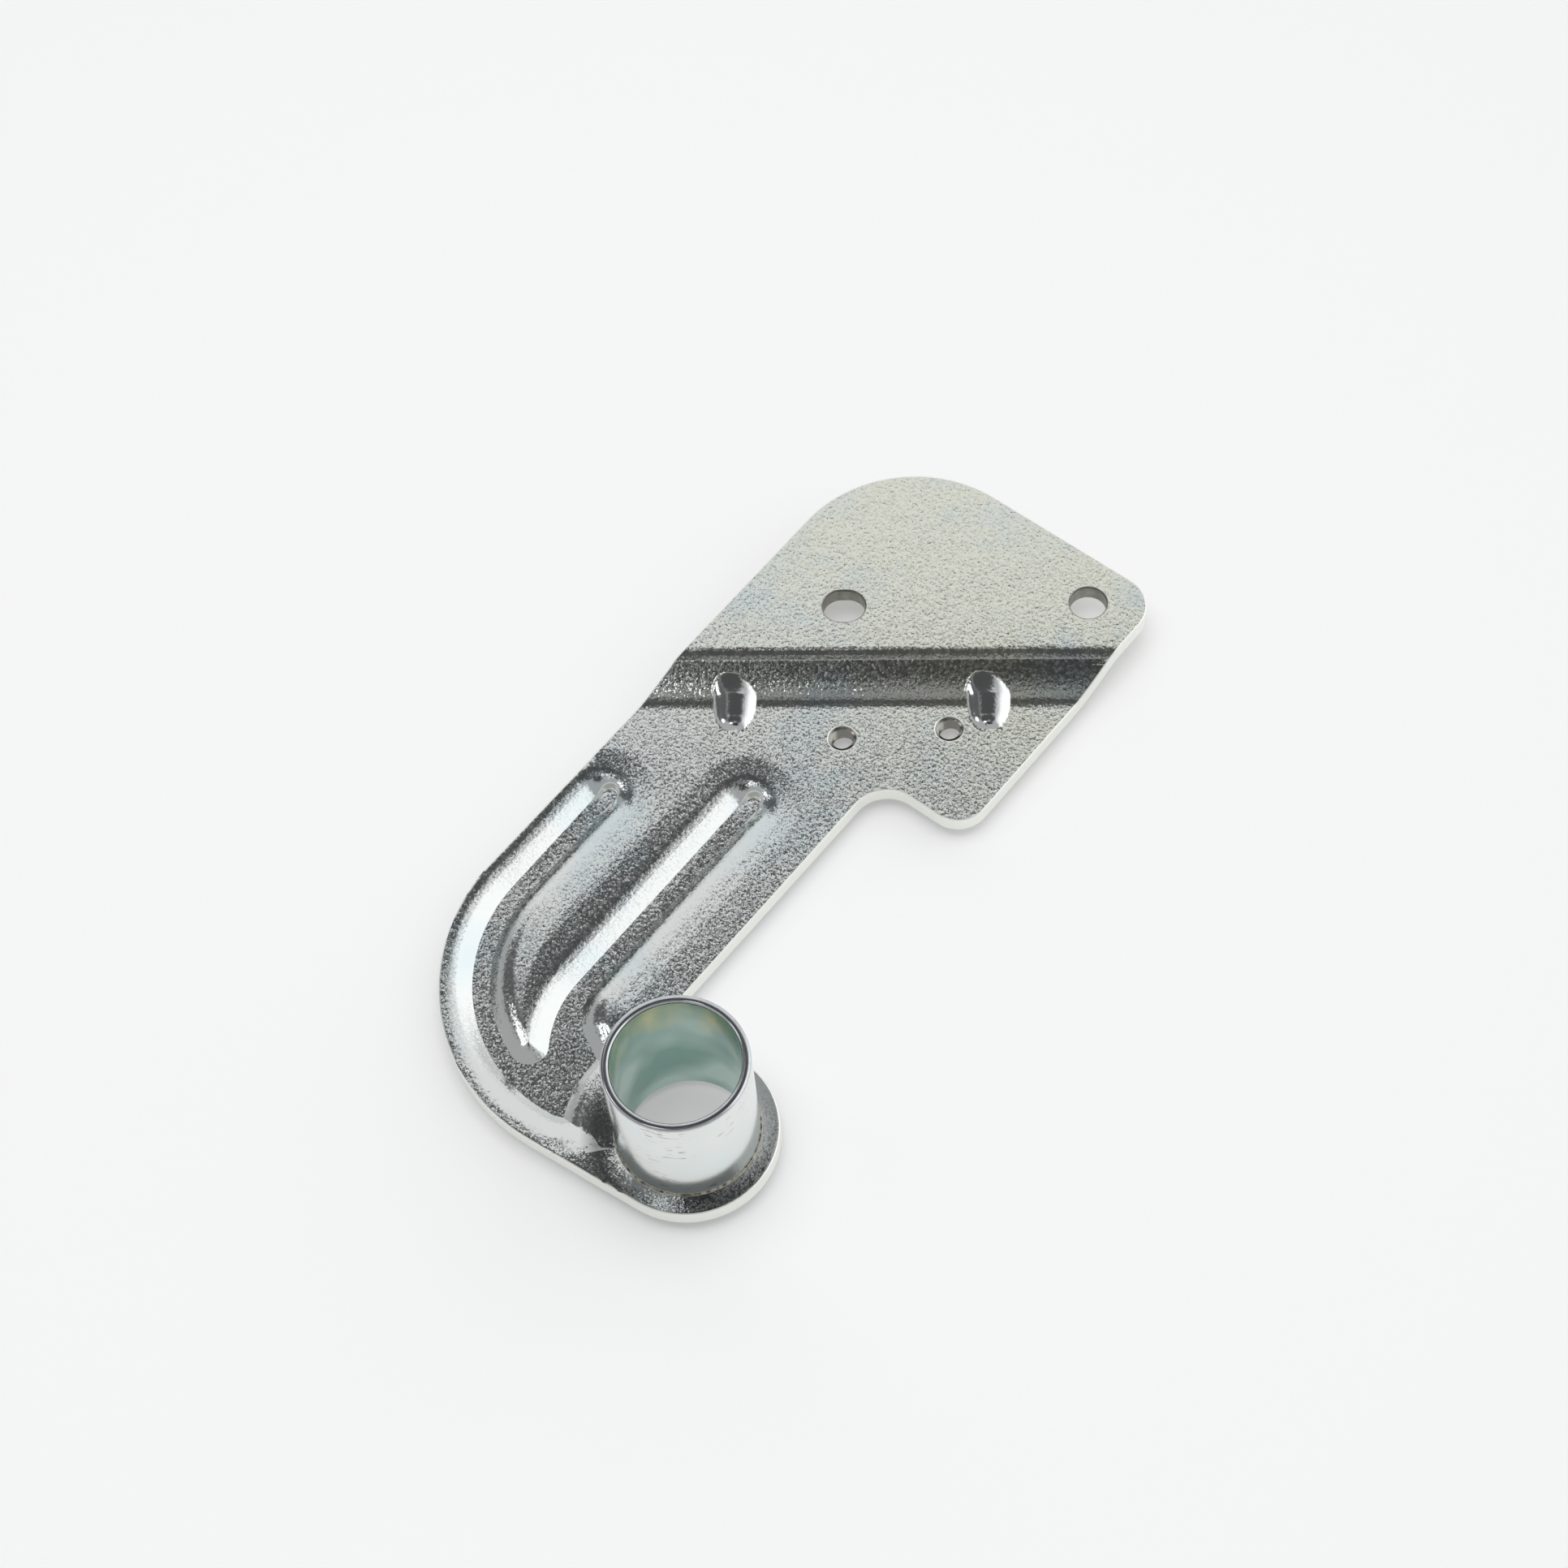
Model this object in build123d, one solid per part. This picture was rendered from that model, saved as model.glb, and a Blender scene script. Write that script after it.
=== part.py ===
from build123d import *
import os
from math import acos, atan2, cos, degrees, hypot, radians, sin, sqrt, tan

# A zinc-plated pressed-steel bracket: one stamped plate that carries one short tube.
#
# Frame: the tube's axis is Z, and Z = 0 is the underside of the plate's lower level.
# Y runs along the plate's long straight edge, from the tube towards the screw holes.
# All sizes are in millimetres, and all angles are in degrees.

# ---- sheet ---------------------------------------------------------------------
SHEET = 3.0                 # thickness of the steel

# ---- outline of the blank --------------------------------------------------------
EDGE_LEFT = -54.5           # long straight edge
EDGE_RIGHT = 1.6            # short edge of the head
EDGE_TOP = 118.7            # end of the head
NOTCH_EDGE = 65.9           # lower edge of the head, where the arm leaves it
ARM_RIGHT = -15.1           # inner edge of the arm
HEAD_LEFT_R = 22.0          # large rounded corner of the head
HEAD_RIGHT_R = 6.1
HEAD_LOWER_R = 5.3
NOTCH_R = 5.8               # inside corner between the head and the arm
ELBOW_R = 32.8              # large bend at the foot of the long edge
ELBOW_Y = 16.8              # its centre, along Y
FLANGE_R = 13.9             # round end that surrounds the tube
FLANGE_NECK_R = 6.0         # inside corner between the arm and the round end

# ---- joggle: the step between the two levels ----------------------------------------
JOGGLE_TURN = 37.3          # direction of the bend lines, from X
JOGGLE_AT = 75.6            # lower bend, measured square to the bend lines
JOGGLE_RISE = 2.8
JOGGLE_SLOPE = 16.0
JOGGLE_R = 8.0              # radius of both bends on the upper face

# ---- gussets: darts pressed up across the lower bend ----------------------------------
GUSSET_AT = (4.2, 45.1)     # places along the bend line
GUSSET_REACH = 75.0         # middle of each gusset, square to the bend lines
GUSSET_SECTION_R = 4.3      # roundness across
GUSSET_CREST_R = 17.0       # arch along the crest
GUSSET_HEIGHT = 1.75        # crest above the lower level

# ---- stiffening recess, pressed down as a U that widens to a toe by the tube --------------
RECESS_DEPTH = 2.25
RECESS_WALL = 30.0          # steepest slope of the wall, at its foot
RECESS_LIP = 3.0            # slope where the shoulder meets the flat
GROOVE_W = 2.8              # flat floor between the walls
BEND_CENTRE = (-22.8, 16.9)
BEND_R = 27.1               # outer foot line round the elbow
LEG_1_END = 39.6            # tip of the outer leg
LEG_2_END = 52.3            # tip of the inner leg
LEG_2_LEFT = -30.5          # left foot line of the inner leg
LEG_STEP = 2.0              # length of the steep end wall, ahead of the shoulder
TONGUE_SIDE_R = 18.5        # curve from the inner leg into the toe
TONGUE_SIDE_Y = 9.5         # where that curve starts
TONGUE_TIP_R = 3.0
TOE_TOP_Y = 5.2             # inside corner between the inner leg and the toe
TOE_TOP_R = 8.0
TOE_EDGE = -15.5            # end of the toe, which the collar's slope covers
TOE_EDGE_TOP = -0.7
TOE_CORNER_R = 4.0
TOE_POINT_R = 0.5

# ---- collar drawn up round the tube -----------------------------------------------------
COLLAR_R = 16.0             # where the flat starts to rise
COLLAR_RISE = 1.0           # height of the rim at the tube
COLLAR_LIP = 2.0            # slope where the collar leaves the flat
COLLAR_FOOT_R = 19.5        # foot of the slope on the side of the toe
COLLAR_MID = (15.2, -0.5)   # radius and height where that slope turns hollow

# ---- tube -------------------------------------------------------------------------------
TUBE_R = 11.0
TUBE_WALL = 1.35
TUBE_TOP = 26.1

# ---- holes ---------------------------------------------------------------------------------
ROUND_HOLE = (-7.5, 110.95)
ROUND_HOLE_R = 3.0
SLOT = (-38.9, 86.7)
SLOT_W = 6.0
SLOT_L = 6.95
TAPPED_HOLES = ((-24.5, 68.0), (-11.9, 79.7))
TAP_CORE_R = 1.65

FAR = 200.0                 # longer than the part, for shapes that are trimmed later
HEADROOM = 1.6              # how far a pressing tool stands clear of the face it marks
CLEARANCE = 25.0            # slope at which the tool leaves that face
TURN = 360.0                # one full turn


def bend_frame():
    """Turn from the plate's axes to the direction of the joggle's bend lines."""
    return Rot(0, 0, JOGGLE_TURN)


def tangent_arc(centre, radius, start, end):
    """Arc between two directions in degrees; the sign of end - start is its sense."""
    return CenterArc(centre, radius, start, end - start)


def joined(arcs):
    """Face inside a closed chain of arcs, with straight lines between their ends."""
    edges = []
    for arc, following in zip(arcs, arcs[1:] + arcs[:1]):
        edges.append(arc)
        if (arc @ 1 - following @ 0).length > 1e-6:
            edges.append(Line(arc @ 1, following @ 0))
    return make_face(edges).face()


def blank_outline():
    """Outline of the blank: lines between tangent arcs, anticlockwise."""
    elbow = (EDGE_LEFT + ELBOW_R, ELBOW_Y)
    reach = hypot(*elbow)
    foot = degrees(atan2(elbow[1], elbow[0]) + acos((FLANGE_R - ELBOW_R) / reach))
    neck_x = ARM_RIGHT + FLANGE_NECK_R
    neck_y = sqrt((FLANGE_R + FLANGE_NECK_R) ** 2 - neck_x ** 2)
    neck = degrees(atan2(neck_y, neck_x))
    return joined([
        tangent_arc((0, 0), FLANGE_R, foot - TURN, neck),
        tangent_arc((neck_x, neck_y), FLANGE_NECK_R, neck - 180, -180),
        tangent_arc((ARM_RIGHT + NOTCH_R, NOTCH_EDGE - NOTCH_R), NOTCH_R, 180, 90),
        tangent_arc((EDGE_RIGHT - HEAD_LOWER_R, NOTCH_EDGE + HEAD_LOWER_R), HEAD_LOWER_R, -90, 0),
        tangent_arc((EDGE_RIGHT - HEAD_RIGHT_R, EDGE_TOP - HEAD_RIGHT_R), HEAD_RIGHT_R, 0, 90),
        tangent_arc((EDGE_LEFT + HEAD_LEFT_R, EDGE_TOP - HEAD_LEFT_R), HEAD_LEFT_R, 90, 180),
        tangent_arc(elbow, ELBOW_R, 180, foot),
    ])


def sheet():
    """The flat sheet with its joggle, larger than the blank."""
    run = JOGGLE_RISE / tan(radians(JOGGLE_SLOPE))
    shift = SHEET * tan(radians(JOGGLE_SLOPE / 2))
    top = FilletPolyline(
        (-FAR, SHEET), (JOGGLE_AT, SHEET),
        (JOGGLE_AT + run, SHEET + JOGGLE_RISE), (FAR, SHEET + JOGGLE_RISE),
        radius=JOGGLE_R,
    )
    under = FilletPolyline(
        (-FAR, 0), (JOGGLE_AT + shift, 0),
        (JOGGLE_AT + run + shift, JOGGLE_RISE), (FAR, JOGGLE_RISE),
        radius=[JOGGLE_R + SHEET, JOGGLE_R - SHEET],
    )
    ends = [Line(top @ 0, under @ 0), Line(top @ 1, under @ 1)]
    section = make_face(top.edges() + under.edges() + ends)
    placed = Plane.YZ * section
    return bend_frame() * extrude(placed, FAR, both=True)


def crossing(c1, r1, c2, r2):
    """The lower left point at distance r1 from c1 and r2 from c2."""
    dx, dy = c2[0] - c1[0], c2[1] - c1[1]
    span = hypot(dx, dy)
    along = (span ** 2 + r1 ** 2 - r2 ** 2) / (2 * span)
    aside = sqrt(r1 ** 2 - along ** 2)
    return (c1[0] + (along * dx + aside * dy) / span, c1[1] + (along * dy - aside * dx) / span)


def heading(centre, point):
    """Direction from a centre to a point, from 0 to 360 degrees."""
    return degrees(atan2(point[1] - centre[1], point[0] - centre[0])) % TURN


def recess_outline(step):
    """Foot line of the recess; step shortens both legs."""
    half = GROOVE_W / 2
    leg_1 = BEND_CENTRE[0] - BEND_R + half
    leg_2 = LEG_2_LEFT + half
    inner_r = BEND_R - GROOVE_W
    side = (LEG_2_LEFT + TONGUE_SIDE_R, TONGUE_SIDE_Y)
    tip = crossing(BEND_CENTRE, inner_r - TONGUE_TIP_R, side, TONGUE_SIDE_R + TONGUE_TIP_R)
    corner_x = TOE_EDGE - TOE_CORNER_R
    drop = sqrt((BEND_R - TOE_CORNER_R) ** 2 - (corner_x - BEND_CENTRE[0]) ** 2)
    corner = (corner_x, BEND_CENTRE[1] - drop)
    toe_x = leg_2 + half
    lean = degrees(atan2(TOE_TOP_Y - TOE_EDGE_TOP, TOE_EDGE - toe_x))
    ease = tan(radians(45 - lean / 2))
    hollow = (toe_x + TOE_TOP_R, TOE_TOP_Y + TOE_TOP_R * ease)
    point = (TOE_EDGE - TOE_POINT_R, TOE_EDGE_TOP - TOE_POINT_R * ease)
    tip_out = heading(BEND_CENTRE, tip)
    tip_side = heading(tip, side)
    return joined([
        tangent_arc((leg_1, LEG_1_END - half - step), half, 0, 180),
        tangent_arc(BEND_CENTRE, BEND_R, 180, heading(BEND_CENTRE, corner)),
        tangent_arc(corner, TOE_CORNER_R, heading(BEND_CENTRE, corner) - TURN, 0),
        tangent_arc(point, TOE_POINT_R, 0, 90 - lean),
        tangent_arc(hollow, TOE_TOP_R, 270 - lean, 180),
        tangent_arc((leg_2, LEG_2_END - half - step), half, 0, 180),
        tangent_arc(side, TONGUE_SIDE_R, 180, tip_side + 180),
        tangent_arc(tip, TONGUE_TIP_R, tip_side, tip_out - TURN),
        tangent_arc(BEND_CENTRE, inner_r, tip_out, 180),
    ])


def shoulder(reach):
    """Half section of the pressing tool beside its floor: foot, round shoulder, clearance."""
    radius = RECESS_DEPTH / (cos(radians(RECESS_LIP)) - cos(radians(RECESS_WALL)))
    width = radius * (sin(radians(RECESS_WALL)) - sin(radians(RECESS_LIP)))
    centre = (width + radius * sin(radians(RECESS_LIP)), -radius * cos(radians(RECESS_LIP)))
    wall = CenterArc(centre, radius, 90 + RECESS_WALL, RECESS_LIP - RECESS_WALL)
    rim = width + HEADROOM / tan(radians(CLEARANCE))
    foot = wall @ 0
    lip = wall @ 1
    clear = Polyline(lip, (rim, HEADROOM), (-0.3, HEADROOM), (-0.3, foot.Y), foot)
    section = make_face([wall] + clear.edges())
    if reach < rim:
        section = section & Pos((reach - 1) / 2, 0) * Rectangle(reach + 1, FAR)
    return section


def flank(outline, edge):
    """The tool's shoulder along one edge of its floor."""
    start = edge @ 0
    along = edge % 0
    out = along.cross(Vector(0, 0, 1)).normalized()
    if outline.is_inside(start + along * 0.05 + out * 0.05):
        out = -out
    if edge.geom_type == GeomType.LINE:
        section = Plane(start, x_dir=out, z_dir=out.cross(Vector(0, 0, 1))) * shoulder(FAR)
        return extrude(section, dir=along, amount=edge.length)
    centre = edge.arc_center
    spoke = start - centre
    hollow = spoke.dot(out) < 0
    reach = edge.radius if hollow else FAR
    section = Plane(start, x_dir=out, z_dir=out.cross(Vector(0, 0, 1))) * shoulder(reach)
    turn = Vector(0, 0, 1) if spoke.cross(along).Z > 0 else Vector(0, 0, -1)
    return revolve(section, Axis(centre, turn), degrees(edge.length / edge.radius))


def recess_tool():
    """The punch of the recess, with its underside at the floor; Z = 0 is the face it marks."""
    lines = recess_outline(LEG_STEP)
    tool = extrude(Pos(0, 0, -RECESS_DEPTH) * recess_outline(0), RECESS_DEPTH + HEADROOM)
    for edge in lines.outer_wire().edges():
        tool = tool + flank(lines, edge)
    return tool - collar_slope()


def collar_slope():
    """What the punch leaves standing round the tube: a slope from the toe up to the collar."""
    fall = (-cos(radians(RECESS_WALL)), sin(radians(RECESS_WALL)))
    lower = TangentArc((COLLAR_FOOT_R, -RECESS_DEPTH), COLLAR_MID, tangent=fall)
    upper = TangentArc(COLLAR_MID, (TUBE_R, COLLAR_RISE + 0.05), tangent=lower % 1)
    rim = upper @ 1
    base = Polyline(rim, (0, rim.Y), (0, -SHEET * 2), (COLLAR_FOOT_R, -SHEET * 2), lower @ 0)
    section = make_face([lower, upper] + base.edges())
    return revolve(Plane.XZ * section, Axis.Z)


def collar_section(top, base):
    """Half section of the collar's rise, closed towards base."""
    rise = (-cos(radians(COLLAR_LIP)), sin(radians(COLLAR_LIP)))
    face = TangentArc((COLLAR_R, top), (TUBE_R, top + COLLAR_RISE), tangent=rise)
    rim = face @ 1
    sides = Polyline(rim, (TUBE_R / 2, rim.Y), (TUBE_R / 2, base), (COLLAR_R, base), face @ 0)
    return Plane.XZ * make_face([face] + sides.edges())


def gusset():
    """One dart, seen in the bend frame: a round section arched along its crest."""
    lean = degrees(atan2(tan(radians(JOGGLE_SLOPE)), 2))
    arch = Pos(0, 0, GUSSET_HEIGHT - GUSSET_CREST_R) * Rot(lean, 0, 0)
    ring = Plane.YZ * Torus(GUSSET_CREST_R - GUSSET_SECTION_R, GUSSET_SECTION_R)
    keep = Pos(0, 0, GUSSET_CREST_R) * Box(FAR, FAR, 2 * (GUSSET_HEIGHT + 1.2))
    return arch * (ring & keep)


def gussets(base):
    """Both darts, standing on the level base."""
    darts = [Pos(x, GUSSET_REACH, base) * gusset() for x in GUSSET_AT]
    return [bend_frame() * dart for dart in darts]


def hole_cutters():
    """Round hole, short slot, and the two tapped holes at their thread's core size."""
    cutters = [Pos(*ROUND_HOLE) * Cylinder(ROUND_HOLE_R, FAR)]
    slot = extrude(SlotOverall(SLOT_L, SLOT_W), FAR, both=True)
    cutters.append(Pos(*SLOT) * bend_frame() * slot)
    for place in TAPPED_HOLES:
        cutters.append(Pos(*place) * Cylinder(TAP_CORE_R, FAR))
    return cutters


def bracket_plate():
    """The stamped plate: sheet, collar, recess and gussets, trimmed to the blank."""
    plate = sheet()
    plate = plate + revolve(collar_section(SHEET, SHEET / 2), Axis.Z)
    plate = plate - revolve(collar_section(0, -SHEET), Axis.Z)
    tool = recess_tool()
    plate = plate + tool
    plate = plate - Pos(0, 0, SHEET) * tool
    for dart in gussets(SHEET):
        plate = plate + dart
    for dart in gussets(0):
        plate = plate - dart
    plate = plate & extrude(blank_outline(), FAR, both=True)
    plate = plate - Cylinder(TUBE_R, FAR)
    for cutter in hole_cutters():
        plate = plate - cutter
    return plate


def socket_tube():
    """The tube, seated in the collar and flush with the plate's underside."""
    inner = TUBE_R - TUBE_WALL
    section = Pos(inner, 0) * Rectangle(TUBE_WALL, TUBE_TOP, align=(Align.MIN, Align.MIN))
    return revolve(Plane.XZ * section, Axis.Z)


os.makedirs("parts", exist_ok=True)
export_step(bracket_plate(), "parts/bracket_plate.step")
export_step(socket_tube(), "parts/socket_tube.step")
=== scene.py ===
import math

import bmesh
import bpy
from mathutils import Matrix, Vector, kdtree


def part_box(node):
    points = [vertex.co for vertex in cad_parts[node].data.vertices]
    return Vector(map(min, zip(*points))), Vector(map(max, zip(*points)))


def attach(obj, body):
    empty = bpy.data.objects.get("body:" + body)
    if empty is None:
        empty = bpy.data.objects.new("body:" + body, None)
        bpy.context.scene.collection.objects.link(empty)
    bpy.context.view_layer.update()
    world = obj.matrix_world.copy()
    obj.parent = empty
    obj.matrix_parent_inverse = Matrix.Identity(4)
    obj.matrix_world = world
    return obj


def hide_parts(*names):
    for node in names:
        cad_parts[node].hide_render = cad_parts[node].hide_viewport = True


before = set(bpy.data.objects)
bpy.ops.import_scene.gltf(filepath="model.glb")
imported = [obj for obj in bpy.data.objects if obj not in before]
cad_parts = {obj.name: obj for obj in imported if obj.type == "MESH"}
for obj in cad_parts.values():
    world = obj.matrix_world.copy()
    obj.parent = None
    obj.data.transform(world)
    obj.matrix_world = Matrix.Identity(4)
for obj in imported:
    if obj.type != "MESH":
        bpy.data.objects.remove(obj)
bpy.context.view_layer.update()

bl_info = {
    "name": "Zinc-plated bracket with socket tube",
    "version": (1, 0, 0),
    "blender": (4, 5, 0),
    "location": "3D View > Sidebar > Bracket",
    "description": "Dresses a stamped bracket and its socket tube, and lights them on a table",
    "category": "Object",
}

MM = 0.001
PLATE_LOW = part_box("bracket_plate")[0]
TUBE_LOW, TUBE_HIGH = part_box("socket_tube")
BEND_TURN = math.radians(37.3)      # direction of the joggle's bend lines

# Sizes from here on are in millimetres and degrees. A place is a distance from the tube's
# axis square to the bend lines.
SHEET = 3.0
COLLAR_TOP = SHEET + 1.0
MERGE = 0.002                       # vertices closer than this are one

TAPPED_HOLES = ((-24.5, 68.0), (-11.9, 79.7))
SCREW_HOLES = ((-7.5, 110.95), (-38.9, 86.7))       # the round one and the short slot
SCREW_HOLE_REACH = 4                # a circle that holds either screw hole's wall
TAP_CORE_R = 1.65
TAP_MOUTH_R = 2.2
RIDGE_R = 1.72                      # crests of the thread's ridges, worn round
THREAD_R = 2.1
THREAD_PITCH = 0.7

RECESS_DEPTH = 2.25
RECESS_END = 72                     # place beyond both legs of the recess
COLLAR_R = 15.5                     # the collar's slope ends inside this
COLLAR_BLEND = (16.0, 3.0)          # where the dressed shoulder starts, and over what width
FRAME_SHOULDER = (16.968, 30, 3)    # radius, slope at the foot and at the rim, as the CAD
WALL_RUN, WALL, BEND_R, LIP = 1.176, 37, 6.0, 3     # the dressed shoulder, foot to rim
# runs from the foot line at which the shoulder gets a line of vertices
SHOULDER_LINES = (0.6, WALL_RUN, 1.6, 2.0, 2.4, 2.8, 3.2, 3.6, 4.0, 4.47, 5.3, 6.4)

LOWER_BEND_R = 8.0
LOWER_BEND = (74.48, 75.6, 76.72)   # places: its start, the corner it rounds and its end
JOGGLE_SLOPE = 16
JOGGLE = (76.7, 84.0, 87.0)         # places: foot, top and end of the joggle
JOGGLE_SHIFT = 2.3                  # how far its upper bend moves along the straight edges
JOGGLE_SAG = 0.13                   # hollow of its slope
BAND = 12                           # a strip this far either side holds what a cut crosses

DARTS = (4.2, 45.1)                 # distances along the bend lines
DART_REACH = (67.0, 84.2)           # places that both darts lie between
DART_PLAN = (75.9, 5.9, 3.5)        # place of the middle, half its length, half its width
DART_NOSE = 72.9                    # place where the nose ends and the straight crest starts
DART_NOSE_RUN = 2.3
DART_CREST = 0.9                    # height of the crest over the lower level
DART_CREST_SLOPE = 0.1
DART_GRID = 0.35                    # spacing of the fine grid across a dart

# slots of the plate's materials; the last marks the rounded edge while it is shaped
ROLLED, SHEARED, BURNISHED, HOLE_WALL, ROUNDED = range(5)


# ---- small helpers ------------------------------------------------------------


def linear(code):
    """An sRGB hex colour as linear RGBA."""
    channels = [int(code[i:i + 2], 16) / 255 for i in (0, 2, 4)]
    return tuple(c / 12.92 if c <= 0.04045 else ((c + 0.055) / 1.055) ** 2.4
                 for c in channels) + (1.0,)


def node(tree, kind, links=None, **settings):
    """Adds one node: settings are its properties or sockets' values, links its inputs."""
    made = tree.nodes.new("ShaderNode" + kind)
    for name, value in settings.items():
        if hasattr(made, name):
            setattr(made, name, value)
        else:
            made.inputs[name.replace("_", " ")].default_value = value
    for name, source in (links or {}).items():
        tree.links.new(source, made.inputs[name])
    return made


def material(name):
    """An empty node material and its tree."""
    made = bpy.data.materials.new(name)
    made.use_nodes = True
    made.node_tree.nodes.clear()
    return made, made.node_tree


def piece(name, bm, materials):
    """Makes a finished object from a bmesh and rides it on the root."""
    mesh = bpy.data.meshes.new(name)
    bm.to_mesh(mesh)
    bm.free()
    for one in materials:
        mesh.materials.append(one)
    made = bpy.data.objects.new(name, mesh)
    bpy.context.scene.collection.objects.link(made)
    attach(made, "root")
    return made


def smooth(bm, limit):
    """Smooth shading, with edges sharper than limit degrees kept crisp."""
    for face in bm.faces:
        face.smooth = True
    for edge in bm.edges:
        if len(edge.link_faces) == 2:
            edge.smooth = edge.calc_face_angle(0) < math.radians(limit)


def along_bends(point):
    """A point's place along the bend lines and square to them, in millimetres."""
    turned = Matrix.Rotation(-BEND_TURN, 3, "Z") @ Vector(point) / MM
    return turned.x, turned.y


def bare_joggle(place):
    """Height of the sheet's face before its darts, at a distance square to the bends."""
    start, corner, end = LOWER_BEND
    if place < start:
        return SHEET
    if place < end:
        return SHEET + LOWER_BEND_R - math.sqrt(LOWER_BEND_R ** 2 - (place - start) ** 2)
    return SHEET + (place - corner) * math.tan(math.radians(JOGGLE_SLOPE))


def dart_rise(aside, place):
    """Height of a dart above the bare sheet: a round nose, then a straight crest."""
    middle, half_length, half_width = DART_PLAN
    edge = half_width ** 2 * (1 - ((place - middle) / half_length) ** 2)
    if edge <= aside ** 2:
        return 0.0
    crest = SHEET + DART_CREST
    if place < DART_NOSE:
        dip = 1 - ((DART_NOSE - place) / DART_NOSE_RUN) ** 2
        crest -= DART_CREST * (1 - math.sqrt(max(dip, 0)))
    else:
        crest += DART_CREST_SLOPE * (place - DART_NOSE)
    # an ellipse across would be the power 0.5 and a parabola 1
    return max(crest - bare_joggle(place), 0) * (1 - aside ** 2 / edge) ** 0.7


def shoulder_run(drop):
    """How far from the recess's foot line the CAD's shoulder lies drop below the flat."""
    radius, foot, rim = FRAME_SHOULDER
    lean = math.acos(math.cos(math.radians(rim)) - drop / radius)
    return radius * (math.sin(math.radians(foot)) - math.sin(lean))


def shoulder_drop(run):
    """The CAD shoulder's drop below the flat at a distance from the foot line."""
    radius, foot, rim = FRAME_SHOULDER
    lean = math.asin(math.sin(math.radians(foot)) - run / radius)
    return radius * (math.cos(math.radians(rim)) - math.cos(lean))


def dressed_drop(run):
    """The finished shoulder's drop there: a steep wall, a tight bend and a long lip."""
    wall, lip = math.radians(WALL), math.radians(LIP)
    bend_run = BEND_R * (math.sin(wall) - math.sin(lip))
    lip_run = shoulder_run(0) - WALL_RUN - bend_run
    if run < WALL_RUN:
        return RECESS_DEPTH - run * math.tan(wall)
    if run < WALL_RUN + bend_run:
        lean = math.asin(math.sin(wall) - (run - WALL_RUN) / BEND_R)
        return lip_run * math.tan(lip) + BEND_R * (math.cos(lip) - math.cos(lean))
    return (shoulder_run(0) - run) * math.tan(lip)


def cut(bm, faces, place, direction):
    """Cuts a new line of vertices through some faces, and moves nothing."""
    geom = set(faces)
    for face in faces:
        geom.update(face.edges)
        geom.update(face.verts)
    bmesh.ops.bisect_plane(bm, geom=list(geom), dist=0.004 * MM, plane_co=place,
                           plane_no=direction)


def in_recess(face, flat):
    """Whether a face is part of the recess's shoulder; flat is the height of its flat."""
    centre = face.calc_center_median()
    outward = face.normal.z if flat else -face.normal.z
    height = centre.z / MM - flat
    return (face.material_index == ROLLED and outward > 0.3
            and -RECESS_DEPTH - 0.01 < height < 0.01
            and centre.xy.length > COLLAR_R * MM and along_bends(centre)[1] < RECESS_END)


def beside_recess(face, flat):
    """Whether a face of the rounded edge may touch the recess's shoulder."""
    outward = face.normal.z if flat else -face.normal.z
    height = face.calc_center_median().z / MM - flat
    return face.material_index == ROUNDED and outward > 0.05 and abs(height) < RECESS_DEPTH + 0.3


def shoulder_lift(vert, flat):
    """How far a vertex of the CAD's shoulder rises to the dressed one; none by the collar."""
    start, width = COLLAR_BLEND
    share = min(max((vert.co.xy.length / MM - start) / width, 0), 1)
    drop = flat - vert.co.z / MM
    if share > 0 and 0.001 < drop < RECESS_DEPTH - 0.001:
        return share * (drop - dressed_drop(shoulder_run(drop))) * MM
    return 0.0


def press_recess(bm):
    """Gives the recess a steeper wall, a tighter bend and a longer lip, on both faces."""
    for flat in (SHEET, 0):
        for run in SHOULDER_LINES:
            level = (flat - shoulder_drop(run)) * MM
            skin = [face for face in bm.faces if in_recess(face, flat)]
            cut(bm, skin, (0, 0, level), (0, 0, 1))
        skin = {vert for face in bm.faces if in_recess(face, flat) for vert in face.verts}
        lifts = {vert: shoulder_lift(vert, flat) for vert in skin}
        # the rounded edge rides with the shoulder's nearest vertex
        rim = {vert for face in bm.faces if beside_recess(face, flat) for vert in face.verts}
        seam = [vert for vert in skin if any(
            face.material_index == ROUNDED for face in vert.link_faces)]
        tree = kdtree.KDTree(len(seam))
        for index, vert in enumerate(seam):
            tree.insert(vert.co.xy.to_3d(), index)
        tree.balance()
        for vert in rim - skin:
            nearest = seam[tree.find(vert.co.xy.to_3d())[1]]
            lifts[vert] = lifts[nearest]
        for vert, lift in lifts.items():
            vert.co.z += lift


def strip(bm, place, reach):
    """The faces whose middles lie within reach of a place."""
    return [face for face in bm.faces
            if abs(along_bends(face.calc_center_median())[1] - place) < reach]


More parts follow.
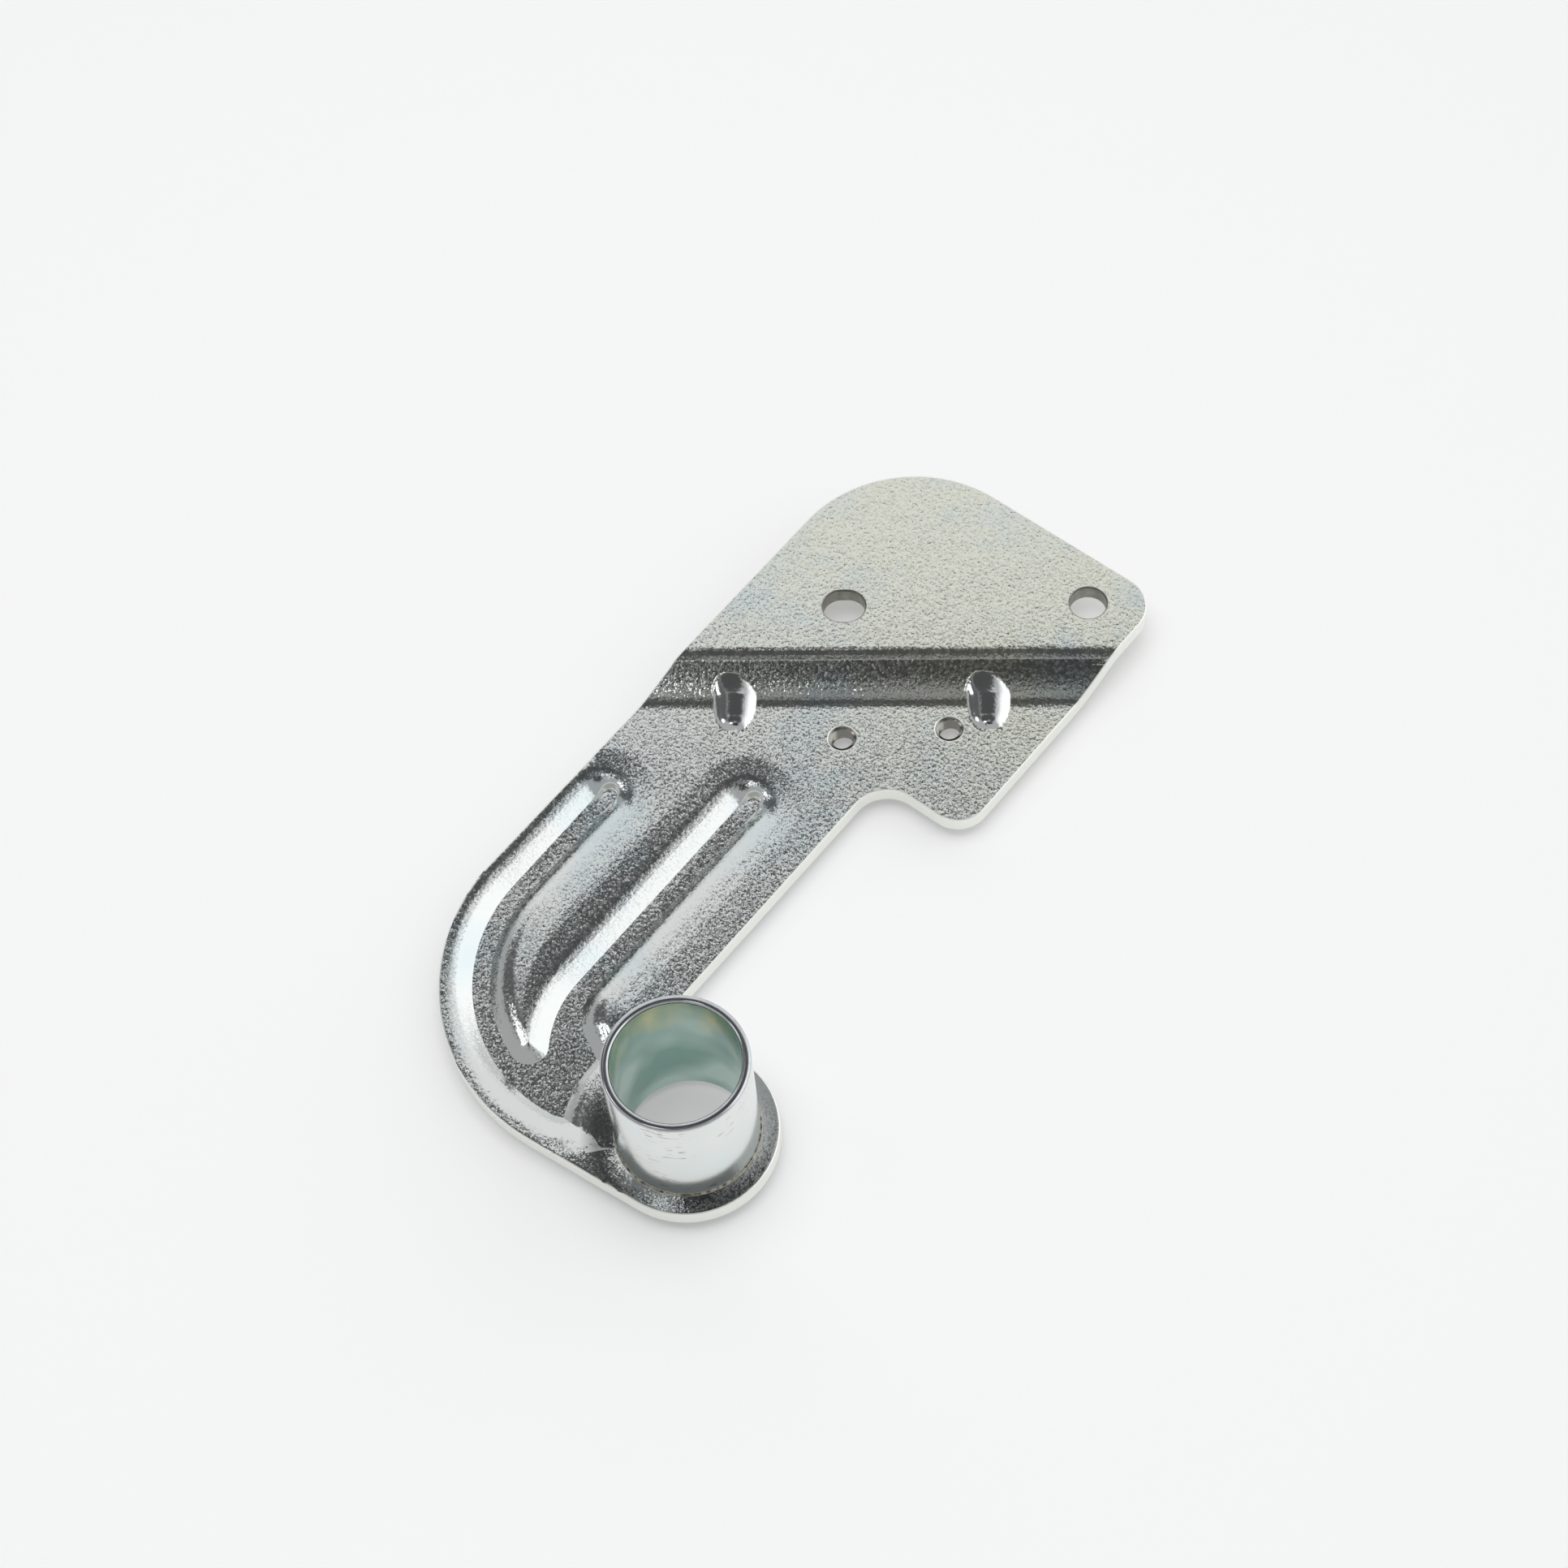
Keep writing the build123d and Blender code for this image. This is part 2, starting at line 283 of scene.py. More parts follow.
def press_darts(bm):
    """Presses both darts anew on a fine grid, in place of the plain ones of the frame."""
    turn = Matrix.Rotation(BEND_TURN, 3, "Z")
    along, across = turn @ Vector((1, 0, 0)), turn @ Vector((0, 1, 0))
    low, high = DART_REACH

    def skin():
        around = strip(bm, (low + high) / 2, (high - low) / 2 + BAND)
        return [face for face in around
                if face.normal.z > 0.2 and face.material_index == ROLLED]

    rows, columns = 44, 24
    sheet_reach = 60                # long enough to cross the sheet's whole width
    for row in range(rows + 1):
        cut(bm, skin(), across * (low + (high - low) * row / rows) * MM, across)
    for spot in DARTS:
        for column in range(columns + 1):
            aside = spot + (column - columns / 2) * DART_GRID
            near = [face for face in skin()
                    if abs(along_bends(face.calc_center_median())[0] - spot) < sheet_reach]
            cut(bm, near, along * aside * MM, along)
    for vert in {vert for face in skin() for vert in face.verts}:
        aside, place = along_bends(vert.co)
        if low <= place <= high:
            rise = max(dart_rise(aside - spot, place) for spot in DARTS)
            vert.co.z = (bare_joggle(place) + rise) * MM


def press_joggle(bm):
    """Moves the joggle's upper bend towards the arm and hollows the slope between bends."""
    foot, top, end = JOGGLE
    across = Matrix.Rotation(BEND_TURN, 3, "Z") @ Vector((0, 1, 0))
    rows = 7
    for row in range(rows + 1):
        place = foot + (top - foot) * row / rows
        cut(bm, strip(bm, place, BAND), across * place * MM, across)
    for vert in bm.verts:
        place = along_bends(vert.co)[1]
        if foot < place < end:
            share = min((place - foot) / (top - foot), 1)
            vert.co.y -= JOGGLE_SHIFT * share * MM
            vert.co.z -= 4 * JOGGLE_SAG * share * (1 - share) * MM


# ---- materials -----------------------------------------------------------------


def zinc_sheet(settings):
    """Bright zinc, electroplated over hot-rolled sheet.

    The rolled sheet's grain shows through the thin plating as small facets that sparkle,
    and the passivation leaves faint blue and straw-coloured clouds.
    """
    made, tree = material("Bright zinc plate on rolled sheet")
    metres = node(tree, "TexCoord").outputs["Object"]
    # clouds 20 mm across, straw-coloured towards the screw holes and bluish between
    clouds = node(tree, "TexNoise", {"Vector": metres}, Scale=1 / (20 * MM), Detail=3,
                  Roughness=0.6)
    along = node(tree, "SeparateXYZ", {"Vector": metres}).outputs["Y"]
    straw = node(tree, "MapRange", {"Value": along}, From_Min=50 * MM, From_Max=95 * MM,
                 To_Min=0.1, To_Max=0.95)
    tone = node(tree, "Mix", {0: straw.outputs["Result"]}, data_type="RGBA")
    tone.inputs[6].default_value = linear(settings.sheet_colour)
    tone.inputs[7].default_value = linear("E6E7DA")
    blue = node(tree, "MapRange", {"Value": clouds.outputs["Fac"]},
                From_Min=0.5, From_Max=0.68, To_Max=0.7)
    tint = node(tree, "Mix", {0: blue.outputs["Result"], 6: tone.outputs[2]},
                data_type="RGBA")
    tint.inputs[7].default_value = linear("D2DEE2")
    # painted shade: the collar's ring, where the press drew it over the tube, is darkened in its
    # base colour to stand in for the dark reflection there
    flat = node(tree, "VectorMath", {0: metres}, operation="MULTIPLY")
    flat.inputs[1].default_value = (1, 1, 0)
    reach = node(tree, "VectorMath", {0: flat.outputs["Vector"]}, operation="LENGTH")
    ring = node(tree, "MapRange", {"Value": reach.outputs["Value"]},
                From_Min=16.5 * MM, From_Max=14 * MM, To_Max=0.8)
    # the sheet's tint, with painted shade laid on the collar's ring
    drawn = node(tree, "Mix", {0: ring.outputs["Result"], 6: tint.outputs[2]},
                 data_type="RGBA")
    drawn.inputs[7].default_value = linear("7C7F7E")
    # grain: facets 0.2 mm across, each tilted its own way, deeper in the pressed arm
    facets = node(tree, "TexVoronoi", {"Vector": metres}, Scale=1 / (0.2 * MM))
    lean = node(tree, "VectorMath", {0: facets.outputs["Color"]}, operation="SUBTRACT")
    lean.inputs[1].default_value = (0.5, 0.5, 0.5)
    depth = node(tree, "MapRange", {"Value": along}, From_Min=45 * MM, From_Max=85 * MM,
                 To_Min=0.09 * settings.grain, To_Max=0.06 * settings.grain)
    tilt = node(tree, "VectorMath", {0: lean.outputs["Vector"],
                                     "Scale": depth.outputs["Result"]}, operation="SCALE")
    # orange peel: 0.6 mm, under the facets
    peel = node(tree, "TexNoise", {"Vector": metres}, Scale=1 / (0.6 * MM), Detail=1)
    bump = node(tree, "Bump", {"Height": peel.outputs["Fac"]}, Strength=settings.grain,
                Distance=0.03 * MM)
    leaning = node(tree, "VectorMath", {0: bump.outputs["Normal"],
                                        1: tilt.outputs["Vector"]}, operation="ADD")
    grained = node(tree, "VectorMath", {0: leaning.outputs["Vector"]},
                   operation="NORMALIZE")
    dull = node(tree, "MapRange", {"Value": peel.outputs["Fac"]},
                From_Min=0.35, From_Max=0.65, To_Min=0.1, To_Max=0.2)
    metal = node(tree, "BsdfPrincipled",
                 {"Base Color": drawn.outputs[2], "Roughness": dull.outputs["Result"],
                  "Normal": grained.outputs["Vector"]}, Metallic=1.0)
    node(tree, "OutputMaterial", {"Surface": metal.outputs["BSDF"]})
    return made


def zinc_cut_edge():
    """The same zinc on the sheared wall of the blank: smooth and pale, drawn up and down."""
    made, tree = material("Bright zinc plate on a sheared edge")
    metres = node(tree, "TexCoord").outputs["Object"]
    # shear marks 0.6 mm apart, three times as tall as they are wide
    stretch = node(tree, "Mapping", {"Vector": metres})
    stretch.inputs["Scale"].default_value = (1.0, 1.0, 0.3)
    marks = node(tree, "TexNoise", {"Vector": stretch.outputs["Vector"]},
                 Scale=1 / (0.6 * MM), Detail=3)
    bump = node(tree, "Bump", {"Height": marks.outputs["Fac"]}, Strength=0.8,
                Distance=0.03 * MM)
    metal = node(tree, "BsdfPrincipled", {"Normal": bump.outputs["Normal"]}, Metallic=0.75,
                 Roughness=0.32)
    metal.inputs["Base Color"].default_value = linear("F3F4EE")
    node(tree, "OutputMaterial", {"Surface": metal.outputs["BSDF"]})
    return made


def zinc_hole_wall():
    """Zinc in the punched holes: thinner there, so greyer and duller."""
    made, tree = material("Thin zinc in a punched hole")
    metres = node(tree, "TexCoord").outputs["Object"]
    # torn band and burnished band: 1 mm blotches
    bands = node(tree, "TexNoise", {"Vector": metres}, Scale=1 / (1.2 * MM), Detail=2)
    tint = node(tree, "Mix", {0: bands.outputs["Fac"]}, data_type="RGBA")
    tint.inputs[6].default_value = linear("6F6E68")
    tint.inputs[7].default_value = linear("B4B4AB")
    metal = node(tree, "BsdfPrincipled", {"Base Color": tint.outputs[2]}, Metallic=1.0,
                 Roughness=0.4)
    node(tree, "OutputMaterial", {"Surface": metal.outputs["BSDF"]})
    return made


def zinc_burnished():
    """The same zinc where the punch stretched and polished it: darts with hard glints."""
    made, tree = material("Bright zinc plate, burnished by the punch")
    metres = node(tree, "TexCoord").outputs["Object"]
    # faint orange peel, 0.5 mm
    skin = node(tree, "TexNoise", {"Vector": metres}, Scale=1 / (0.5 * MM), Detail=2)
    bump = node(tree, "Bump", {"Height": skin.outputs["Fac"]}, Strength=0.7,
                Distance=0.02 * MM)
    metal = node(tree, "BsdfPrincipled", {"Normal": bump.outputs["Normal"]}, Metallic=1.0,
                 Roughness=0.1)
    metal.inputs["Base Color"].default_value = linear("E8EAEA")
    node(tree, "OutputMaterial", {"Surface": metal.outputs["BSDF"]})
    return made


def zinc_thread():
    """Zinc on a cut thread: thin, so greyer than on the sheet, and with little grain."""
    made, tree = material("Bright zinc plate on a cut thread")
    metres = node(tree, "TexCoord").outputs["Object"]
    skin = node(tree, "TexNoise", {"Vector": metres}, Scale=1 / (0.25 * MM), Detail=2)
    bump = node(tree, "Bump", {"Height": skin.outputs["Fac"]}, Strength=0.6,
                Distance=0.02 * MM)
    metal = node(tree, "BsdfPrincipled", {"Normal": bump.outputs["Normal"]}, Metallic=1.0,
                 Roughness=0.2)
    metal.inputs["Base Color"].default_value = linear("A3A199")
    node(tree, "OutputMaterial", {"Surface": metal.outputs["BSDF"]})
    return made


def zinc_tube(settings):
    """Blue-white passivated zinc on drawn tube: smooth, with a few dark handling scuffs."""
    made, tree = material("Blue-white zinc on drawn tube")
    metres = node(tree, "TexCoord").outputs["Object"]
    clouds = node(tree, "TexNoise", {"Vector": metres}, Scale=1 / (9 * MM), Detail=2)
    tint = node(tree, "Mix", {0: clouds.outputs["Fac"]}, data_type="RGBA")
    tint.inputs[6].default_value = linear(settings.tube_colour)
    tint.inputs[7].default_value = linear("EDEBE6")
    # scuffs: dashes 2.2 mm long and a fifth as tall, in a few patches
    stretch = node(tree, "Mapping", {"Vector": metres})
    stretch.inputs["Scale"].default_value = (1.0, 1.0, 5.0)
    dashes = node(tree, "TexNoise", {"Vector": stretch.outputs["Vector"]},
                  Scale=1 / (2.2 * MM), Detail=3, Roughness=0.6)
    dash = node(tree, "MapRange", {"Value": dashes.outputs["Fac"]}, From_Min=0.59,
                From_Max=0.66, To_Max=0.6)
    patches = node(tree, "TexNoise", {"Vector": metres}, Scale=1 / (8 * MM), Detail=1)
    patch = node(tree, "MapRange", {"Value": patches.outputs["Fac"]}, From_Min=0.48,
                 From_Max=0.56)
    rub = node(tree, "Math", {0: dash.outputs["Result"], 1: patch.outputs["Result"]},
               operation="MULTIPLY")
    scuffed = node(tree, "Mix", {0: rub.outputs["Value"], 6: tint.outputs[2]},
                   data_type="RGBA")
    scuffed.inputs[7].default_value = linear("5E5A55")
    skin = node(tree, "TexNoise", {"Vector": metres}, Scale=1 / (0.5 * MM), Detail=2)
    bump = node(tree, "Bump", {"Height": skin.outputs["Fac"]}, Strength=0.25,
                Distance=0.03 * MM)
    metal = node(tree, "BsdfPrincipled",
                 {"Base Color": scuffed.outputs[2], "Normal": bump.outputs["Normal"]},
                 Metallic=1.0, Roughness=settings.tube_roughness)
    node(tree, "OutputMaterial", {"Surface": metal.outputs["BSDF"]})
    return made


def zinc_bore(settings):
    """Passivation pooled in the bore: blue-green, with straw-coloured runs near the rim."""
    made, tree = material("Blue-green passivated zinc in the bore")
    metres = node(tree, "TexCoord").outputs["Object"]
    # runs 5 mm wide that hang down from the rim
    stretch = node(tree, "Mapping", {"Vector": metres})
    stretch.inputs["Scale"].default_value = (1.0, 1.0, 0.3)
    runs = node(tree, "TexNoise", {"Vector": stretch.outputs["Vector"]},
                Scale=1 / (5 * MM), Detail=2)
    height = node(tree, "SeparateXYZ", {"Vector": metres}).outputs["Z"]
    near = node(tree, "MapRange", {"Value": height}, From_Min=8 * MM, From_Max=27 * MM)
    pooled = node(tree, "Math", {0: runs.outputs["Fac"], 1: near.outputs["Result"]},
                  operation="MULTIPLY")
    straw = node(tree, "MapRange", {"Value": pooled.outputs["Value"]}, From_Min=0.3,
                 From_Max=0.52)
    pools = node(tree, "TexNoise", {"Vector": metres}, Scale=1 / (9 * MM), Detail=1)
    share = node(tree, "MapRange", {"Value": pools.outputs["Fac"]}, From_Min=0.38,
                 From_Max=0.62)
    teal = node(tree, "Mix", {0: share.outputs["Result"]}, data_type="RGBA")
    teal.inputs[6].default_value = linear("8DB0A6")
    teal.inputs[7].default_value = linear(settings.bore_colour)
    tint = node(tree, "Mix", {0: straw.outputs["Result"], 6: teal.outputs[2]},
                data_type="RGBA")
    tint.inputs[7].default_value = linear("DCDDB6")
    skin = node(tree, "TexNoise", {"Vector": metres}, Scale=1 / (0.6 * MM), Detail=2)
    bump = node(tree, "Bump", {"Height": skin.outputs["Fac"]}, Strength=0.3,
                Distance=0.03 * MM)
    metal = node(tree, "BsdfPrincipled",
                 {"Base Color": tint.outputs[2], "Normal": bump.outputs["Normal"]},
                 Metallic=1.0, Roughness=0.18)
    node(tree, "OutputMaterial", {"Surface": metal.outputs["BSDF"]})
    return made


def zinc_rim():
    """Zinc on the turned rim: polished, and darker in faint 0.8 mm blotches."""
    made, tree = material("Bright zinc on a turned rim")
    metres = node(tree, "TexCoord").outputs["Object"]
    skin = node(tree, "TexNoise", {"Vector": metres}, Scale=1 / (0.8 * MM), Detail=3)
    tint = node(tree, "Mix", {0: skin.outputs["Fac"]}, data_type="RGBA")
    tint.inputs[6].default_value = linear("BCC1C4")
    tint.inputs[7].default_value = linear("E0E1E3")
    metal = node(tree, "BsdfPrincipled", {"Base Color": tint.outputs[2]}, Metallic=1.0,
                 Roughness=0.12)
    node(tree, "OutputMaterial", {"Surface": metal.outputs["BSDF"]})
    return made


def seam_dirt():
    """Brown dirt and swarf caught in the pressed seam round the tube's foot."""
    made, tree = material("Dirt in a pressed seam")
    metres = node(tree, "TexCoord").outputs["Object"]
    # crumbs 0.7 mm long
    crumbs = node(tree, "TexNoise", {"Vector": metres}, Scale=1 / (0.7 * MM), Detail=3)
    share = node(tree, "MapRange", {"Value": crumbs.outputs["Fac"]}, From_Min=0.4,
                 From_Max=0.6)
    tint = node(tree, "Mix", {0: share.outputs["Result"]}, data_type="RGBA")
    tint.inputs[6].default_value = linear("4A4136")
    tint.inputs[7].default_value = linear("A8A392")
    matt = node(tree, "BsdfPrincipled", {"Base Color": tint.outputs[2]}, Roughness=0.6)
    node(tree, "OutputMaterial", {"Surface": matt.outputs["BSDF"]})
    return made


def table_paper():
    """Matt white table: keeps the soft shadow, and shows as the pale background."""
    made, tree = material("Matt white table")
    matt = node(tree, "BsdfDiffuse")
    matt.inputs["Color"].default_value = linear("F2F2F2")
    pale = node(tree, "Emission")
    pale.inputs["Color"].default_value = linear("F7F7F7")
    ray = node(tree, "LightPath")
    seen = node(tree, "Math", {0: ray.outputs["Is Camera Ray"],
                               1: ray.outputs["Is Glossy Ray"]}, operation="MAXIMUM")
    half = node(tree, "Math", {0: seen.outputs["Value"]}, operation="MULTIPLY")
    half.inputs[1].default_value = 0.28
    both = node(tree, "MixShader", {0: half.outputs["Value"], 1: matt.outputs["BSDF"],
                                    2: pale.outputs["Emission"]})
    node(tree, "OutputMaterial", {"Surface": both.outputs["Shader"]})
    return made


# ---- light ----------------------------------------------------------------------


# Studio cards on grey walls: direction round from the bend lines and down from overhead,
# then the angles from their middle at which they are full and gone, all in degrees, and
# radiance.
CARDS = (
    ("back wall", 95, 64, 28, 42, 0.9),
    ("window", 15, 65, 27, 46, 1.3),
    ("dark doorway", 151, 46, 15.5, 22, 0.12),
    ("dark ceiling", 104, 10, 17.5, 23, 0.08),
    ("zenith light", 97, 1, 3, 8, 0.36),
    ("black hatch", 277, 16, 8, 13, 0.05),
    ("side softbox", 168, 40, 6, 9, 2.0),
    ("small softbox", 200, 14, 3, 6, 2.2),
)
WALLS = 0.46                        # radiance where there is no card


def sky(scene):
    """Studio light by direction: grey walls, a dark ceiling and a bright window."""
    world = bpy.data.worlds.new("Studio")
    world.use_nodes = True
    scene.world = world
    tree = world.node_tree
    tree.nodes.clear()
    ray = node(tree, "TexCoord").outputs["Generated"]
    turned = node(tree, "VectorRotate", {"Vector": ray}, rotation_type="Z_AXIS",
                  Angle=-BEND_TURN).outputs["Vector"]
    level = None
    for name, turn, drop, full, gone, radiance in CARDS:
        turn, drop = math.radians(turn), math.radians(drop)
        dot = node(tree, "VectorMath", {0: turned}, operation="DOT_PRODUCT")
        dot.inputs[1].default_value = (math.sin(drop) * math.cos(turn),
                                       math.sin(drop) * math.sin(turn), math.cos(drop))
        mask = node(tree, "MapRange", {"Value": dot.outputs["Value"]}, label=name,
                    interpolation_type="SMOOTHSTEP", From_Min=math.cos(math.radians(gone)),
                    From_Max=math.cos(math.radians(full)))
        blend = node(tree, "Mix", {0: mask.outputs["Result"]}, data_type="FLOAT")
        blend.inputs[3].default_value = radiance
        if level is None:
            blend.inputs[2].default_value = WALLS
        else:
            tree.links.new(level, blend.inputs[2])
        level = blend.outputs[0]
    ground = node(tree, "Background", {"Strength": level})
    ground.inputs["Color"].default_value = linear("FAFBFC")
    node(tree, "OutputWorld", {"Surface": ground.outputs["Background"]})


# ---- operators ------------------------------------------------------------------


class BRACKET_OT_plate(bpy.types.Operator):
    """Make the pressed plate, with grained zinc on its faces and pale sheared edges"""

    bl_idname = "bracket.plate"
    bl_label = "Pressed plate"

    def execute(self, context):
        settings = context.scene.bracket
        bm = bmesh.new()
        bm.from_mesh(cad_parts["bracket_plate"].data)
        bmesh.ops.remove_doubles(bm, verts=bm.verts, dist=MERGE * MM)
        self.widen_tapped_holes(bm)
        self.round_edges(bm, settings.rollover * MM)
        press_recess(bm)
        press_darts(bm)
        for face in bm.faces:
            aside, place = along_bends(face.calc_center_median())
            if face.material_index == ROLLED and face.normal.z > 0 and any(
                    dart_rise(aside - spot, place) > 0.1 for spot in DARTS):
                face.material_index = BURNISHED
        press_joggle(bm)
        bmesh.ops.triangulate(bm, faces=bm.faces)
        bmesh.ops.dissolve_degenerate(bm, edges=bm.edges, dist=MERGE * MM)
        # nothing reaches below the bulge of the recess
        for vert in bm.verts:
            vert.co.z = max(vert.co.z, -RECESS_DEPTH * MM)
        smooth(bm, 22)
        for face in bm.faces:
            if face.material_index in (SHEARED, ROUNDED):
                centre = face.calc_center_median().xy
                in_hole = any((centre - Vector(spot) * MM).length < SCREW_HOLE_REACH * MM
                              for spot in SCREW_HOLES)
                face.material_index = HOLE_WALL if in_hole else SHEARED
        skins = [zinc_sheet(settings), zinc_cut_edge(), zinc_burnished(), zinc_hole_wall()]
        plate = piece("pressed_plate", bm, skins)
        level = plate.modifiers.new("Flat faces stay flat", "WEIGHTED_NORMAL")
        level.keep_sharp = True
        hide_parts("bracket_plate")
        return {"FINISHED"}

    def widen_tapped_holes(self, bm):
        """Opens each tapped hole to its thread's full width, which the threads then fill."""
        for place in TAPPED_HOLES:
            middle = Vector(place) * MM
            for vert in bm.verts:
                arm = vert.co.xy - middle
                if abs(arm.length - TAP_CORE_R * MM) < 0.02 * MM:
                    vert.co.xy = middle + arm.normalized() * TAP_MOUTH_R * MM

    def round_edges(self, bm, offset):
        """Sorts the faces into rolled and sheared, and rounds the sharp edge between them."""
        for face in bm.faces:
            face.material_index = SHEARED if abs(face.normal.z) < 0.3 else ROLLED
        rim = [edge for edge in bm.edges if len(edge.link_faces) == 2
               and edge.link_faces[0].material_index != edge.link_faces[1].material_index
               and edge.calc_face_angle(0) > math.radians(50)]
        rounded = bmesh.ops.bevel(bm, geom=rim, offset=offset, segments=2, profile=0.5,
                                  affect="EDGES", material=-1)
        for face in rounded["faces"]:
            face.material_index = ROUNDED


class BRACKET_OT_threads(bpy.types.Operator):
    """Cut the screw thread in both tapped holes, as one closed ring of ridges in each"""

    bl_idname = "bracket.threads"
    bl_label = "Screw threads"

    def execute(self, context):
        bm = bmesh.new()
        for place in TAPPED_HOLES:
            ring = self.one_thread()
            bmesh.ops.translate(ring, verts=ring.verts, vec=Vector((*place, 0)) * MM)
            part = bpy.data.meshes.new("thread")
            ring.to_mesh(part)
            ring.free()
            bm.from_mesh(part)
            bpy.data.meshes.remove(part)
        smooth(bm, 25)
        piece("screw_threads", bm, [zinc_thread()])
        return {"FINISHED"}

    def one_thread(self):
        """A closed ring round the origin, as tall as the sheet and ridged inside."""
        pitch, steps, turns = THREAD_PITCH * MM, 40, 6
        # one turn's outline, as radius and share of the pitch, from 0.6 mm below the sheet
        outline = ((THREAD_R, 0), (THREAD_R, 0.14), (RIDGE_R, 0.5), (RIDGE_R, 0.64),
                   (THREAD_R, 1.0))
        ring = bmesh.new()
        profile = [ring.verts.new((r * MM, 0, z * pitch - 0.6 * MM)) for r, z in outline]
        for a, b in zip(profile, profile[1:]):
            ring.edges.new((a, b))
        bmesh.ops.spin(ring, geom=ring.verts[:] + ring.edges[:], cent=(0, 0, 0),
                       axis=(0, 0, 1), dvec=(0, 0, pitch / steps),
                       angle=math.tau * turns, steps=steps * turns)
        bmesh.ops.remove_doubles(ring, verts=ring.verts, dist=2 * MERGE * MM)
        trim, mouth = 0.15, 0.02        # below each face of the sheet
        for height, out in ((trim, -1), (SHEET - trim, 1)):
            whole = ring.verts[:] + ring.edges[:] + ring.faces[:]
            bmesh.ops.bisect_plane(ring, geom=whole, plane_co=(0, 0, height * MM),
                                   plane_no=(0, 0, out), clear_outer=True)
        for height in (mouth, SHEET - mouth):
            edges = [edge for edge in ring.edges if edge.is_boundary
                     and abs(edge.verts[0].co.z - height * MM) < 2 * trim * MM]
            made = bmesh.ops.extrude_edge_only(ring, edges=edges)
            for vert in made["geom"]:
                if isinstance(vert, bmesh.types.BMVert):
                    vert.co.xy = vert.co.xy.normalized() * TAP_MOUTH_R * MM
                    vert.co.z = height * MM
        outer = [edge for edge in ring.edges if edge.is_boundary]
        bmesh.ops.bridge_loops(ring, edges=outer)
        bmesh.ops.recalc_face_normals(ring, faces=ring.faces)
        return ring


class BRACKET_OT_tube(bpy.types.Operator):
    """Turn the socket tube, with a rim that is rounded outside and inside"""

    bl_idname = "bracket.tube"
    bl_label = "Socket tube"

    def execute(self, context):
        settings = context.scene.bracket
        outer = (TUBE_HIGH[0] - TUBE_LOW[0]) / 2
        inner = outer - settings.tube_wall * MM
        low, high = TUBE_LOW[2], TUBE_HIGH[2]
        outer_round, inner_round = 0.5 * MM, 0.45 * MM
        bm = bmesh.new()
        corners = [(outer, low), (outer, high), (inner, high), (inner, low)]
        verts = [bm.verts.new((r, 0, z)) for r, z in corners]
        for a, b in zip(verts, verts[1:] + verts[:1]):
            bm.edges.new((a, b))
        bmesh.ops.spin(bm, geom=bm.verts[:] + bm.edges[:], cent=(0, 0, 0), axis=(0, 0, 1),
                       angle=math.tau, steps=160, use_merge=True)
        bmesh.ops.remove_doubles(bm, verts=bm.verts, dist=MERGE * MM)
        bmesh.ops.recalc_face_normals(bm, faces=bm.faces)
        for radius, offset in ((outer, outer_round), (inner, inner_round)):
            rim = [edge for edge in bm.edges
                   if all(abs(vert.co.z - high) < MERGE * MM
                          and abs(vert.co.xy.length - radius) < 5 * MERGE * MM
                          for vert in edge.verts)]
            bmesh.ops.bevel(bm, geom=rim, offset=offset, segments=5, profile=0.5,
                            affect="EDGES", material=-1)
        for face in bm.faces:
            centre = face.calc_center_median()
            if centre.z > high - outer_round - 0.02 * MM:
                face.material_index = 2
            elif centre.xy.length < inner + 0.01 * MM:
                face.material_index = 1
        smooth(bm, 30)
        skins = [zinc_tube(settings), zinc_bore(settings), zinc_rim()]
        tube = piece("drawn_tube", bm, skins)
        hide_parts("socket_tube")
        return {"FINISHED"}


class BRACKET_OT_seam(bpy.types.Operator):
    """Fill the pressed seam between tube and collar with a thin ring of dirt"""

    bl_idname = "bracket.seam"
    bl_label = "Seam at the tube's foot"

    def execute(self, context):
        outer = (TUBE_HIGH[0] - TUBE_LOW[0]) / 2
        bm = bmesh.new()
        # from inside the tube's wall to 0.2 mm outside it, and just above the collar
        outline = ((-0.05, -0.2), (0.2, -0.2), (0.16, 0.0), (0.04, 0.08), (-0.05, 0.06))
        corners = [bm.verts.new((outer + x * MM, 0, (COLLAR_TOP + z) * MM))
                   for x, z in outline]
        for a, b in zip(corners, corners[1:] + corners[:1]):
            bm.edges.new((a, b))
        bmesh.ops.spin(bm, geom=bm.verts[:] + bm.edges[:], cent=(0, 0, 0), axis=(0, 0, 1),
                       angle=math.tau, steps=160, use_merge=True)
        bmesh.ops.recalc_face_normals(bm, faces=bm.faces)
        smooth(bm, 50)
        piece("seam_dirt", bm, [seam_dirt()])
        return {"FINISHED"}


